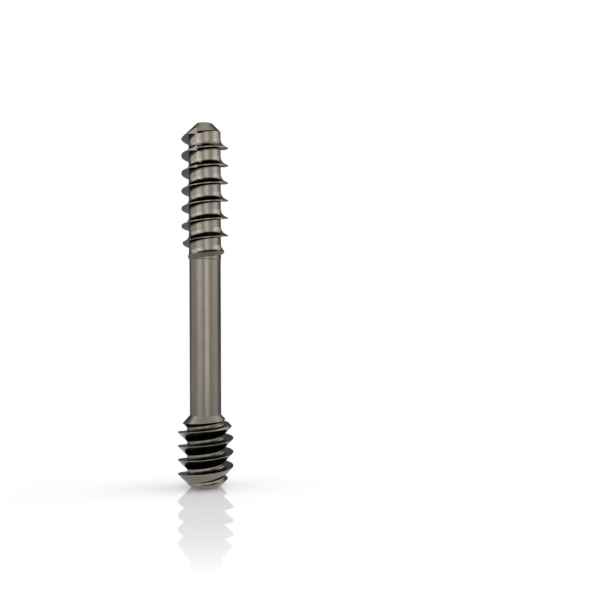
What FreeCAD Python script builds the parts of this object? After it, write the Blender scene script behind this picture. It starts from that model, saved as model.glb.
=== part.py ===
import FreeCAD, Part

import os

import Sketcher

# Headless cannulated compression screw, turned from one bar of titanium alloy.
# It stands on the flat end of its head: the origin is the centre of that end, and +Z runs to the tip.
# Both threads are right-handed. Their crests are placed at the front, which faces -Y.
# Lengths are in millimetres and angles in degrees.

SIZES = {
    "total_length": 54.65,
    # plain shaft
    "shaft_diameter": 4.7,
    # head: fine thread between the end cone and the shoulder cone
    "head_length": 10.85,
    "head_crest_diameter": 8.3,
    "head_root_diameter": 5.56,
    "head_pitch": 2.09,
    "head_crest_land": 0.1,
    "head_steep_flank_angle": 5.0,
    "head_root_width": 0.46,
    "head_root_chamfer": 0.15,
    "head_thread_phase": 0.55,
    "end_ring_diameter": 4.3,
    "end_cone_angle": 45.0,
    "shoulder_cone_angle": 41.5,
    # tip: coarse thread between the run-out cone and the tip cone
    "tip_thread_start": 34.1,
    "tip_crest_diameter": 7.0,
    "tip_core_diameter": 4.8,
    "tip_pitch": 2.65,
    "tip_crest_land": 0.12,
    "tip_steep_flank_angle": 5.0,
    "tip_slope_flank_angle": 28.0,
    "tip_root_radius": 1.25,
    "tip_thread_phase": 0.4,
    "run_out_cone_angle": 21.0,
    "tip_cone_angle": 45.0,
    "tip_flat_diameter": 2.5,
    # bore for the guide wire
    "cannula_diameter": 1.6,
    # hexagonal socket, broached into a drilled pilot hole
    "hex_across_flats": 3.5,
    "hex_depth": 3.6,
    "pilot_diameter": 3.3,
    "pilot_depth": 4.2,
    "drill_point_angle": 59.0,
    # cutting flutes at the tip
    "flute_count": 2,
    "flute_wall_offset": 1.1,
    "flute_floor_offset": 1.7,
    "flute_floor_tilt": 9.5,
    "flute_length": 7.5,
    "flute_cutter_radius": 4.0,
    # how far a cutting tool reaches past the bar
    "tool_overlap": 0.5,
}

# Radii that several features share, in the sheet's terms
HEAD_CREST = "sizes.head_crest_diameter / 2"
TIP_CREST = "sizes.tip_crest_diameter / 2"

doc = FreeCAD.newDocument("compression_screw")
sheet = doc.addObject("Spreadsheet::Sheet", "sizes")
for row, (alias, size) in enumerate(SIZES.items(), start=1):
    sheet.set("A%d" % row, alias)
    sheet.set("B%d" % row, str(size))
    sheet.setAlias("B%d" % row, alias)
doc.recompute()

body = doc.addObject("PartDesign::Body", "screw")
body.Label = "screw"


def value(expression):
    """The number that an expression in the sheet's aliases comes to."""
    return float(sheet.evalExpression(expression))


def origin_part(role):
    """The plane or axis of the body's own origin that has this role."""
    return next(item for item in body.Origin.OriginFeatures if item.Role == role)


def new_sketch(name, plane):
    sketch = body.newObject("Sketcher::SketchObject", name)
    sketch.AttachmentSupport = [(origin_part(plane), "")]
    sketch.MapMode = "FlatFace"
    return sketch


def bind(sketch, constraint, expression):
    number = sketch.addConstraint(constraint)
    sketch.setExpression("Constraints[%d]" % number, expression)


def place_start(sketch, side, across, up):
    """Bind the start point of a side to its distances from the sketch's origin."""
    for kind, axis, expression in (("DistanceX", -2, across), ("DistanceY", -1, up)):
        if expression == "0":
            sketch.addConstraint(Sketcher.Constraint("PointOnObject", side, 1, axis))
        else:
            distance = Sketcher.Constraint(kind, -1, 1, side, 1, value(expression))
            bind(sketch, distance, expression)


def draw_outline(sketch, corners, arc_side=None, arc_centre=None, arc_radius=None):
    """Draw a closed outline through corners, each a pair of expressions.

    The sides are straight, apart from the one numbered arc_side, which turns anticlockwise.
    """
    points = [FreeCAD.Vector(value(across), value(up), 0) for across, up in corners]
    sides = []
    for number, start in enumerate(points):
        end = points[(number + 1) % len(points)]
        side = Part.LineSegment(start, end)
        if number == arc_side:
            centre = FreeCAD.Vector(value(arc_centre[0]), value(arc_centre[1]), 0)
            circle = Part.Circle(centre, FreeCAD.Vector(0, 0, 1), value(arc_radius))
            side = Part.ArcOfCircle(circle, circle.parameter(start), circle.parameter(end))
        sides.append(sketch.addGeometry(side, False))
    for side, following in zip(sides, sides[1:] + sides[:1]):
        sketch.addConstraint(Sketcher.Constraint("Coincident", side, 2, following, 1))
    for side, (across, up) in zip(sides, corners):
        place_start(sketch, side, across, up)
    if arc_side is not None:
        radius = Sketcher.Constraint("Radius", sides[arc_side], value(arc_radius))
        bind(sketch, radius, arc_radius)


def turned(kind, name, sketch):
    """A feature that is the sketch turned about the screw's axis."""
    feature = body.newObject(kind, name)
    feature.Profile = sketch
    feature.ReferenceAxis = (sketch, ["V_Axis"])
    feature.Angle = 360
    return feature


def turn_blank():
    """The bar as it leaves the lathe: end cone, head, shoulder, shaft, run-out cone and tip cone."""
    end_ring = "sizes.end_ring_diameter / 2"
    shaft = "sizes.shaft_diameter / 2"
    tip_flat = "sizes.tip_flat_diameter / 2"
    end_cone_height = "(%s - %s) / tan(sizes.end_cone_angle)" % (HEAD_CREST, end_ring)
    shoulder_height = "(%s - %s) / tan(sizes.shoulder_cone_angle)" % (HEAD_CREST, shaft)
    run_out_height = "(%s - %s) / tan(sizes.run_out_cone_angle)" % (TIP_CREST, shaft)
    tip_cone_height = "(%s - %s) / tan(sizes.tip_cone_angle)" % (TIP_CREST, tip_flat)
    sketch = new_sketch("blank_profile", "XZ_Plane")
    draw_outline(sketch, [
        ("0", "0"),
        (end_ring, "0"),
        (HEAD_CREST, end_cone_height),
        (HEAD_CREST, "sizes.head_length - " + shoulder_height),
        (shaft, "sizes.head_length"),
        (shaft, "sizes.tip_thread_start"),
        (TIP_CREST, "sizes.tip_thread_start + " + run_out_height),
        (TIP_CREST, "sizes.total_length - " + tip_cone_height),
        (tip_flat, "sizes.total_length"),
        ("0", "sizes.total_length"),
    ])
    return turned("PartDesign::Revolution", "turned_blank", sketch)


def cut_flutes():
    """Flutes that give the tip thread its cutting edges: a flat wall, and a floor that runs out in an arc."""
    outside = "%s + sizes.tool_overlap" % TIP_CREST
    above = "sizes.total_length + sizes.tool_overlap"
    tilt = "sizes.flute_floor_tilt"
    cutter = "sizes.flute_cutter_radius"
    floor_at_top = "sizes.flute_floor_offset - sizes.tool_overlap * tan(%s)" % tilt
    floor_at_arc = "(sizes.flute_floor_offset + sizes.flute_length * tan(%s))" % tilt
    arc_height = "(sizes.total_length - sizes.flute_length)"
    centre_across = "(%s + %s * cos(%s))" % (floor_at_arc, cutter, tilt)
    centre_up = "(%s + %s * sin(%s))" % (arc_height, cutter, tilt)
    reach = "(%s - (%s))" % (centre_across, outside)
    arc_end = "%s - sqrt(%s ^ 2 - %s ^ 2)" % (centre_up, cutter, reach)
    sketch = new_sketch("flute_profile", "YZ_Plane")
    sketch.setExpression(".AttachmentOffset.Base.z", "sizes.flute_wall_offset")
    draw_outline(sketch, [
        (floor_at_top, above),
        (floor_at_arc, arc_height),
        (outside, arc_end),
        (outside, above),
    ], 1, (centre_across, centre_up), cutter)
    flute = body.newObject("PartDesign::Pocket", "flute")
    flute.Profile = sketch
    flute.Type = "ThroughAll"
    flute.Reversed = True
    pattern = body.newObject("PartDesign::PolarPattern", "flutes")
    pattern.Originals = [flute]
    pattern.Axis = (origin_part("Z_Axis"), [""])
    pattern.Angle = 360
    pattern.setExpression("Occurrences", "sizes.flute_count")
    body.Tip = pattern
    return pattern


def cut_thread(end, root_corners, root_arc, first_crest, length):
    """Mill the helical groove of one thread, which leaves its crests standing.

    The profile's height is counted from the lower of the two crests that the groove runs between, and
    first_crest is how high that one passes the front. The profile is drawn a quarter turn further on,
    and two turns lower, where the bar is thinner than the groove's root, so that the groove fades in.
    The root's corners come from the upper flank down to the lower one.
    """
    pitch = "sizes.%s_pitch" % end
    crest = "sizes.%s_crest_diameter / 2" % end
    outside = "%s + sizes.tool_overlap" % crest
    width = "%s - sizes.%s_crest_land" % (pitch, end)
    corners = [(outside, width), (crest, width)] + root_corners + [(crest, "0"), (outside, "0")]
    sketch = new_sketch(end + "_groove_profile", "XZ_Plane")
    draw_outline(sketch, corners, *root_arc)
    sketch.setExpression(".AttachmentOffset.Base.y", "%s + (1 / 4 - 2) * %s" % (first_crest, pitch))
    groove = body.newObject("PartDesign::SubtractiveHelix", end + "_thread")
    groove.Profile = sketch
    groove.ReferenceAxis = (sketch, ["V_Axis"])
    groove.Mode = "pitch-height-angle"
    groove.setExpression("Pitch", pitch)
    groove.setExpression("Height", "%s + 2 * %s" % (length, pitch))
    return groove


def cut_head_thread():
    """Fine buttress thread: its steep flank faces the tip and pulls the bone together."""
    root = "sizes.head_root_diameter / 2"
    depth = "(%s - %s)" % (HEAD_CREST, root)
    chamfer = "sizes.head_root_chamfer"
    steep = "tan(sizes.head_steep_flank_angle)"
    root_bottom = "%s * %s" % (depth, steep)
    root_corners = [
        (root, "%s + sizes.head_root_width" % root_bottom),
        (root, "%s + %s" % (root_bottom, chamfer)),
        ("%s + %s" % (root, chamfer), "(%s - %s) * %s" % (depth, chamfer, steep)),
    ]
    return cut_thread("head", root_corners, (), "sizes.head_thread_phase", "sizes.head_length")


def cut_tip_thread():
    """Coarse thread: its steep flank faces the head, and a wide arc leads from the other to the core."""
    core = "sizes.tip_core_diameter / 2"
    radius = "sizes.tip_root_radius"
    slope = "sizes.tip_slope_flank_angle"
    upper_depth = "(%s - %s) * tan(sizes.tip_steep_flank_angle)" % (TIP_CREST, core)
    # the arc touches the core and the sloped flank
    touch_radius = "%s + %s * (1 - sin(%s))" % (core, radius, slope)
    touch_height = "(%s - (%s)) * tan(%s)" % (TIP_CREST, touch_radius, slope)
    arc_top = "%s + %s * cos(%s)" % (touch_height, radius, slope)
    root_corners = [
        (core, "sizes.tip_pitch - sizes.tip_crest_land - " + upper_depth),
        (core, arc_top),
        (touch_radius, touch_height),
    ]
    arc_side = 3
    root_arc = (arc_side, ("%s + %s" % (core, radius), arc_top), radius)
    first_crest = "sizes.tip_thread_start + sizes.tip_thread_phase + sizes.tip_crest_land"
    length = "sizes.total_length - sizes.tip_thread_start"
    return cut_thread("tip", root_corners, root_arc, first_crest, length)


def cut_cannula():
    """Bore right through, for the guide wire that leads the screw into the bone."""
    sketch = new_sketch("cannula_circle", "XY_Plane")
    radius = "sizes.cannula_diameter / 2"
    centre = FreeCAD.Vector(0, 0, 0)
    circle = sketch.addGeometry(Part.Circle(centre, FreeCAD.Vector(0, 0, 1), value(radius)), False)
    sketch.addConstraint(Sketcher.Constraint("Coincident", circle, 3, -1, 1))
    bind(sketch, Sketcher.Constraint("Radius", circle, value(radius)), radius)
    cannula = body.newObject("PartDesign::Pocket", "cannula")
    cannula.Profile = sketch
    cannula.Type = "ThroughAll"
    cannula.Reversed = True
    return cannula


def cut_socket():
    """Socket for the hexagonal driver: a drilled pilot hole with its point, then the broached hexagon."""
    pilot = "sizes.pilot_diameter / 2"
    pilot_sketch = new_sketch("pilot_profile", "XZ_Plane")
    draw_outline(pilot_sketch, [
        ("0", "0"),
        (pilot, "0"),
        (pilot, "sizes.pilot_depth"),
        ("0", "sizes.pilot_depth + %s / tan(sizes.drill_point_angle)" % pilot),
    ])
    turned("PartDesign::Groove", "pilot_hole", pilot_sketch)
    corner = "sizes.hex_across_flats / sqrt(3)"
    flat = "sizes.hex_across_flats / 2"
    hexagon = new_sketch("hexagon", "XY_Plane")
    draw_outline(hexagon, [
        (corner, "0"),
        (corner + " / 2", flat),
        ("-%s / 2" % corner, flat),
        ("-" + corner, "0"),
        ("-%s / 2" % corner, "-" + flat),
        (corner + " / 2", "-" + flat),
    ])
    socket = body.newObject("PartDesign::Pocket", "hex_socket")
    socket.Profile = hexagon
    socket.setExpression("Length", "sizes.hex_depth")
    socket.Reversed = True
    return socket


volume = 0
for make in (turn_blank, cut_flutes, cut_head_thread, cut_tip_thread, cut_cannula, cut_socket):
    feature = make()
    doc.recompute()
    failed = [item.Name for item in doc.Objects if "Invalid" in item.State or "Error" in item.State]
    if failed or feature.Shape.isNull() or not feature.Shape.isValid():
        raise RuntimeError("%s failed: %s" % (make.__name__, failed))
    if volume and feature.Shape.Volume >= volume:
        raise RuntimeError("%s removed nothing" % make.__name__)
    volume = feature.Shape.Volume
    print("%-16s %8.2f cubic mm" % (make.__name__, volume))

shape = body.Shape
if shape.isNull() or not shape.isValid() or len(shape.Solids) != 1:
    raise RuntimeError("the screw isn't one valid solid")
os.makedirs("parts", exist_ok=True)
shape.exportStep("parts/%s.step" % body.Label)
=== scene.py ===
import math

import bpy
from mathutils import Matrix, Vector

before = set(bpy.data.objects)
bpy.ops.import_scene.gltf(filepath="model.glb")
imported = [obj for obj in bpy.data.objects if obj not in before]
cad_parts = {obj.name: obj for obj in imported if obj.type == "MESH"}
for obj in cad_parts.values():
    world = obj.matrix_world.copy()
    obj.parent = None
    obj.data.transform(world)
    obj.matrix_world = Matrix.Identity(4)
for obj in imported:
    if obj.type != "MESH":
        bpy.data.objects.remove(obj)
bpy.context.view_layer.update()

# Looks of a headless cannulated compression screw that stands on its head end on a glossy white floor.
# Lengths are in metres unless a name says otherwise, and angles in degrees. An azimuth of 0 is toward
# the front, -Y, and 90 is toward +X.

MILLIMETRE = 0.001

# Camera, from a perspective fitted to the screw's outline in the 600 pixel frame
FRAME_PIXELS = 600
FOCAL_PIXELS = 738.0
SENSOR_WIDTH_MM = 36.0
CAMERA_DISTANCE = 0.11224
CAMERA_HEIGHT = 0.02396
CAMERA_YAW = 7.313
CAMERA_PITCH = 0.254
CAMERA_ROLL = -0.244
CAMERA_SHIFT = 0.04

# Titanium alloy, as sRGB colours: its common grey, and the duller, rougher grey of its oxide in faint
# clouds about 1.8 mm across
TITANIUM = "a69e92"
TITANIUM_DULL = "9a9287"
CLOUD_SIZE_MM = 1.8
CLOUD_DETAIL = 3.0
SATIN_SMOOTHEST = 0.15
SATIN_ROUGHEST = 0.19
# Painted shade: in a reflection, in its own flanks or in the floor, the metal is painted nearly black
METAL_PAINTED_DARK_IN_REFLECTION = "0a0a0a"
# The lathe's feed marks are about 0.05 mm apart, too fine to show, so they are drawn 0.3 mm apart
FEED_MARK_MM = 0.3
FEED_MARK_DEPTH_MM = 0.0006
# The wave texture repeats every 2 pi / 20 units of its scaled coordinate
WAVE_TURN = 2 * math.pi / 20

# Floor: a round sheet of white acrylic, whose shine is polished only round the foot of the screw
FLOOR_WHITE = "fcfcfc"
FLOOR_RADIUS = 0.15
FLOOR_CORNERS = 96
POLISHED = 0.5
SHINE_FULL_WITHIN = 0.017
SHINE_GONE_BEYOND = 0.041
# Painted reflection: the satin metal sees the floor painted pale under the screw and grey farther out, so
# that its faces that look down stay dark
FLOOR_PAINTED_PALE = "dae0e3"
FLOOR_PAINTED_GREY = "828689"
FLOOR_PAINTED_PALE_WITHIN = 0.008
FLOOR_PAINTED_GREY_BEYOND = 0.050
# The floor glows a little for the camera, which lifts the whole floor to white. Under the foot it also
# glows for the
# satin metal: a painted glow that fills the contact shadow at the foot that the satin metal sees
FLOOR_LIFT = 0.04
FOOT_PAINTED_GLOW = 0.28
FOOT_PAINTED_GLOW_WITHIN = 0.0022
FOOT_PAINTED_GLOW_GONE = 0.0042
# Soft light on the floor: even all round, with a window at each side that draws a shadow the other way.
# Each window has its azimuth, two half angles as a panel has, and what it adds.
EVEN_LIGHT = 0.72
WINDOWS = (
    (90, 8, 36, 1.5),  # right
    (-90, 8, 36, 0.6),  # left
)
# All light is white
WHITE = "ffffff"

# Studio that the satin metal reflects, as brightness where 1 is white. Each panel has its azimuth, the
# half angle of its even middle, the half angle where its edge has faded out, the elevation where it
# begins, the one from which it is full, and what it adds to the brightness there.
SURROUND = 0.45
PANELS = (
    (15, 60, 100, -12, 16, 0.20),  # broad fill light in front
    (-42, 3, 26, -20, 14, 0.50),  # strip at the left of the camera
    (12, 2, 20, -60, -40, 0.54),  # narrow strip beside the camera
    (80, 8, 28, -14, 14, 0.25),  # weak strip on the right
    (-80, 22, 50, 5, 18, 0.66),  # raised soft box on the left
    (102, 15, 48, 5, 18, 0.66),  # raised soft box on the right
)
# The ceiling takes over from walls and panels between these elevations. It is lighter toward the back,
# and changes over where the direction's Y is within 0.3 of 0.
CEILING_FROM = 45
CEILING_TO = 60
CEILING_FRONT = 0.54
CEILING_BACK = 0.74
CEILING_TURN = 0.3
# The room behind the screw is dark, and grows lighter toward the zenith and below the horizon
BACK_AZIMUTH = 172
BACK_DARK_WITHIN = 42
BACK_LIT_BEYOND = 80
BACK_DARK_BELOW = 46
BACK_LIT_ABOVE = 80
BACK_BRIGHTNESS = 0.10
BACK_LOW = -14
BACK_LOW_BRIGHTNESS = 0.42

# The world reads a ray depth of 2 in a first reflection and of 3 in a second
FIRST_REFLECTION = 2.5


def linear(hex_colour):
    """The linear colour, with alpha, of an sRGB hex value."""
    channels = [int(hex_colour[i:i + 2], 16) / 255 for i in (0, 2, 4)]
    return [c / 12.92 if c <= 0.04045 else ((c + 0.055) / 1.055) ** 2.4 for c in channels] + [1.0]


def add_node(tree, kind, inputs=None, **settings):
    """Add a node, set its own settings, and give each named input a value or another node's output."""
    node = tree.nodes.new(kind)
    for name, setting in settings.items():
        setattr(node, name, setting)
    for name, source in (inputs or {}).items():
        if isinstance(source, bpy.types.NodeSocket):
            tree.links.new(source, node.inputs[name])
        else:
            node.inputs[name].default_value = source
    return node


def new_material(name):
    """An empty node material with its output."""
    material = bpy.data.materials.new(name)
    material.use_nodes = True
    tree = material.node_tree
    tree.nodes.clear()
    return material, tree, tree.nodes.new("ShaderNodeOutputMaterial")


def turned_titanium():
    """Titanium alloy turned on a lathe and left satin: soft strips of reflection along the shaft."""
    material, tree, output = new_material("turned_titanium")
    place = add_node(tree, "ShaderNodeTexCoord").outputs["Object"]
    clouds = add_node(tree, "ShaderNodeTexNoise", {
        "Vector": place,
        "Scale": 1 / (CLOUD_SIZE_MM * MILLIMETRE),
        "Detail": CLOUD_DETAIL,
    }).outputs["Fac"]
    colour = add_node(tree, "ShaderNodeMix", {
        "Factor": clouds,
        "A": linear(TITANIUM_DULL),
        "B": linear(TITANIUM),
    }, data_type="RGBA")
    # Painted shade: a glossy ray sees the metal in the nearly black colour, which darkens its grooves and
    # its reflection in the floor
    colour_and_painted_reflection = add_node(tree, "ShaderNodeMix", {
        "Factor": add_node(tree, "ShaderNodeLightPath").outputs["Is Glossy Ray"],
        "A": colour.outputs["Result"],
        "B": linear(METAL_PAINTED_DARK_IN_REFLECTION),
    }, data_type="RGBA")
    satin = add_node(tree, "ShaderNodeMapRange", {
        "Value": clouds,
        "To Min": SATIN_ROUGHEST,
        "To Max": SATIN_SMOOTHEST,
    })
    feed = add_node(tree, "ShaderNodeTexWave", {
        "Vector": place,
        "Scale": 1 / (FEED_MARK_MM * MILLIMETRE) * WAVE_TURN,
        "Distortion": 0.0,
    }, wave_type="BANDS", bands_direction="Z", wave_profile="SIN")
    marks = add_node(tree, "ShaderNodeBump", {
        "Strength": 1.0,
        "Distance": FEED_MARK_DEPTH_MM * MILLIMETRE,
        "Height": feed.outputs["Fac"],
    })
    shader = add_node(tree, "ShaderNodeBsdfPrincipled", {
        "Base Color": colour_and_painted_reflection.outputs["Result"],
        "Metallic": 1.0,
        "Roughness": satin.outputs["Result"],
        "Normal": marks.outputs["Normal"],
    })
    tree.links.new(shader.outputs["BSDF"], output.inputs["Surface"])
    return material


def polished_acrylic():
    """White acrylic sheet: polished, so that it mirrors the foot of the screw and keeps its soft shadow."""
    material, tree, output = new_material("polished_white_acrylic")
    ray = add_node(tree, "ShaderNodeLightPath").outputs
    place = add_node(tree, "ShaderNodeTexCoord").outputs["Object"]
    away = add_node(tree, "ShaderNodeVectorMath", {0: place}, operation="LENGTH")
    shine = add_node(tree, "ShaderNodeMapRange", {
        "Value": away.outputs["Value"],
        "From Min": SHINE_FULL_WITHIN,
        "From Max": SHINE_GONE_BEYOND,
        "To Min": POLISHED,
        "To Max": 0.0,
    }, interpolation_type="SMOOTHSTEP")
    shine = add_node(tree, "ShaderNodeMix", {
        "Factor": ray["Is Camera Ray"],
        "A": POLISHED,
        "B": shine.outputs["Result"],
    }, data_type="FLOAT")
    # Painted reflection: for the satin metal the floor is painted pale near the foot and grey farther out
    painted_grey_mask = add_node(tree, "ShaderNodeMapRange", {
        "Value": away.outputs["Value"],
        "From Min": FLOOR_PAINTED_PALE_WITHIN,
        "From Max": FLOOR_PAINTED_GREY_BEYOND,
    }, interpolation_type="SMOOTHSTEP")
    colour_and_painted_reflection = add_node(tree, "ShaderNodeMix", {
        "Factor": painted_grey_mask.outputs["Result"],
        "A": linear(FLOOR_PAINTED_PALE),
        "B": linear(FLOOR_PAINTED_GREY),
    }, data_type="RGBA")
    colour = add_node(tree, "ShaderNodeMix", {
        "Factor": ray["Is Glossy Ray"],
        "A": linear(FLOOR_WHITE),
        "B": colour_and_painted_reflection.outputs["Result"],
    }, data_type="RGBA")
    # Painted light: a glow under the foot, seen only by the satin metal, fills the contact shadow that it
    # mirrors
    foot_painted_glow = add_node(tree, "ShaderNodeMapRange", {
        "Value": away.outputs["Value"],
        "From Min": FOOT_PAINTED_GLOW_WITHIN,
        "From Max": FOOT_PAINTED_GLOW_GONE,
        "To Min": FOOT_PAINTED_GLOW,
        "To Max": 0.0,
    })
    lift = add_node(tree, "ShaderNodeMath", {0: ray["Is Camera Ray"], 1: FLOOR_LIFT}, operation="MULTIPLY")
    lift = add_node(tree, "ShaderNodeMath", {
        0: ray["Is Glossy Ray"],
        1: foot_painted_glow.outputs["Result"],
        2: lift.outputs["Value"],
    }, operation="MULTIPLY_ADD")
    shader = add_node(tree, "ShaderNodeBsdfPrincipled", {
        "Base Color": colour.outputs["Result"],
        "Roughness": 0.0,
        "Specular IOR Level": shine.outputs["Result"],
        "Emission Color": linear(WHITE),
        "Emission Strength": lift.outputs["Value"],
    })
    tree.links.new(shader.outputs["BSDF"], output.inputs["Surface"])
    return material


def make_floor():
    """A round sheet under the screw."""
    bpy.ops.mesh.primitive_circle_add(vertices=FLOOR_CORNERS, radius=FLOOR_RADIUS, fill_type="NGON")
    floor = bpy.context.object
    floor.name = "floor"
    floor.data.materials.append(polished_acrylic())
    return floor


def make_camera():
    """A camera at the fitted place."""
    camera = bpy.data.objects.new("camera", bpy.data.cameras.new("camera"))
    camera.data.sensor_width = SENSOR_WIDTH_MM
    camera.data.lens = FOCAL_PIXELS * SENSOR_WIDTH_MM / FRAME_PIXELS
    camera.data.shift_y = CAMERA_SHIFT
    camera.data.clip_start = MILLIMETRE
    yaw = math.radians(CAMERA_YAW)
    pitch = math.radians(CAMERA_PITCH)
    ahead = Vector((math.sin(yaw) * math.cos(pitch), math.cos(yaw) * math.cos(pitch), math.sin(pitch)))
    turn = ahead.to_track_quat("-Z", "Y").to_matrix().to_4x4()
    roll = Matrix.Rotation(math.radians(CAMERA_ROLL), 4, "Z")
    camera.matrix_world = Matrix.Translation((0, -CAMERA_DISTANCE, CAMERA_HEIGHT)) @ turn @ roll
    bpy.context.scene.collection.objects.link(camera)
    bpy.context.scene.camera = camera


def facing(tree, heading, azimuth, inner, outer):
    """1 where the level heading is within the inner angle of the azimuth, fading to 0 at the outer one."""
    angle = math.radians(azimuth)
    aligned = add_node(tree, "ShaderNodeVectorMath", {
        0: heading,
        1: (math.sin(angle), -math.cos(angle), 0),
    }, operation="DOT_PRODUCT")
    return add_node(tree, "ShaderNodeMapRange", {
        "Value": aligned.outputs["Value"],
        "From Min": math.cos(math.radians(outer)),
        "From Max": math.cos(math.radians(inner)),
    }, interpolation_type="SMOOTHSTEP").outputs["Result"]


def floor_light(tree, heading):
    """Brightness of the room in each direction, as it lights the floor."""
    light = EVEN_LIGHT
    for azimuth, inner, outer, brightness in WINDOWS:
        light = add_node(tree, "ShaderNodeMath", {
            0: facing(tree, heading, azimuth, inner, outer),
            1: brightness,
            2: light,
        }, operation="MULTIPLY_ADD").outputs["Value"]
    return light


def studio_brightness(tree, direction, heading):
    """Brightness of the studio in each direction, as the satin metal sees it."""
    part = add_node(tree, "ShaderNodeSeparateXYZ", {"Vector": direction}).outputs
    height = part["Z"]

    overhead = add_node(tree, "ShaderNodeMapRange", {
        "Value": height,
        "From Min": math.sin(math.radians(CEILING_FROM)),
        "From Max": math.sin(math.radians(CEILING_TO)),
    }, interpolation_type="SMOOTHSTEP").outputs["Result"]
    ceiling = add_node(tree, "ShaderNodeMapRange", {
        "Value": part["Y"],
        "From Min": -CEILING_TURN,
        "From Max": CEILING_TURN,
        "To Min": CEILING_FRONT,
        "To Max": CEILING_BACK,
    })
    room = add_node(tree, "ShaderNodeMix", {
        "Factor": overhead,
        "A": SURROUND,
        "B": ceiling.outputs["Result"],
    }, data_type="FLOAT")
    behind = add_node(tree, "ShaderNodeMapRange", {
        "Value": height,
        "From Min": math.sin(math.radians(BACK_LIT_ABOVE)),
        "From Max": math.sin(math.radians(BACK_DARK_BELOW)),
        "To Max": facing(tree, heading, BACK_AZIMUTH, BACK_DARK_WITHIN, BACK_LIT_BEYOND),
    })
    back = add_node(tree, "ShaderNodeMapRange", {
        "Value": height,
        "From Min": math.sin(math.radians(BACK_LOW)),
        "From Max": 0.0,
        "To Min": BACK_LOW_BRIGHTNESS,
        "To Max": BACK_BRIGHTNESS,
    })
    light = add_node(tree, "ShaderNodeMix", {
        "Factor": behind.outputs["Result"],
        "A": room.outputs["Result"],
        "B": back.outputs["Result"],
    }, data_type="FLOAT").outputs["Result"]
    for azimuth, inner, outer, foot, full, brightness in PANELS:
        panel = add_node(tree, "ShaderNodeMapRange", {
            "Value": height,
            "From Min": math.sin(math.radians(foot)),
            "From Max": math.sin(math.radians(full)),
            "To Max": brightness,
        })
        below = add_node(tree, "ShaderNodeMapRange", {
            "Value": overhead,
            "To Min": panel.outputs["Result"],
            "To Max": 0.0,
        })
        light = add_node(tree, "ShaderNodeMath", {
            0: facing(tree, heading, azimuth, inner, outer),
            1: below.outputs["Result"],
            2: light,
        }, operation="MULTIPLY_ADD").outputs["Value"]
    return light


def light_world():
    """White for the camera and the floor's mirror, soft light for the floor, the studio for the metal."""
    world = bpy.data.worlds.new("studio")
    world.use_nodes = True
    tree = world.node_tree
    tree.nodes.clear()
    direction = add_node(tree, "ShaderNodeTexCoord").outputs["Generated"]
    level = add_node(tree, "ShaderNodeVectorMath", {0: direction, 1: (1, 1, 0)}, operation="MULTIPLY")
    heading = add_node(tree, "ShaderNodeVectorMath", {0: level.outputs["Vector"]}, operation="NORMALIZE")
    heading = heading.outputs["Vector"]
    ray = add_node(tree, "ShaderNodeLightPath").outputs
    # The floor's mirror sees white in its first reflection, and the studio in one that the metal sees
    first = add_node(tree, "ShaderNodeMath", {
        0: ray["Ray Depth"],
        1: FIRST_REFLECTION,
    }, operation="LESS_THAN")
    mirror = add_node(tree, "ShaderNodeMath", {
        0: ray["Is Singular Ray"],
        1: first.outputs["Value"],
    }, operation="MULTIPLY")
    satin = add_node(tree, "ShaderNodeMath", {
        0: ray["Is Glossy Ray"],
        1: mirror.outputs["Value"],
    }, operation="SUBTRACT", use_clamp=True)
    plain = add_node(tree, "ShaderNodeMix", {
        "Factor": ray["Is Diffuse Ray"],
        "A": 1.0,
        "B": floor_light(tree, heading),
    }, data_type="FLOAT")
    strength = add_node(tree, "ShaderNodeMix", {
        "Factor": satin.outputs["Value"],
        "A": plain.outputs["Result"],
        "B": studio_brightness(tree, direction, heading),
    }, data_type="FLOAT")
    back = add_node(tree, "ShaderNodeBackground", {
        "Color": linear(WHITE),
        "Strength": strength.outputs["Result"],
    })
    output = tree.nodes.new("ShaderNodeOutputWorld")
    tree.links.new(back.outputs["Background"], output.inputs["Surface"])
    world.cycles.sampling_method = "NONE"
    bpy.context.scene.world = world


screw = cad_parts["screw"]
screw.data.materials.clear()
screw.data.materials.append(turned_titanium())
make_floor()
make_camera()
light_world()
bpy.context.scene.view_settings.view_transform = "Standard"
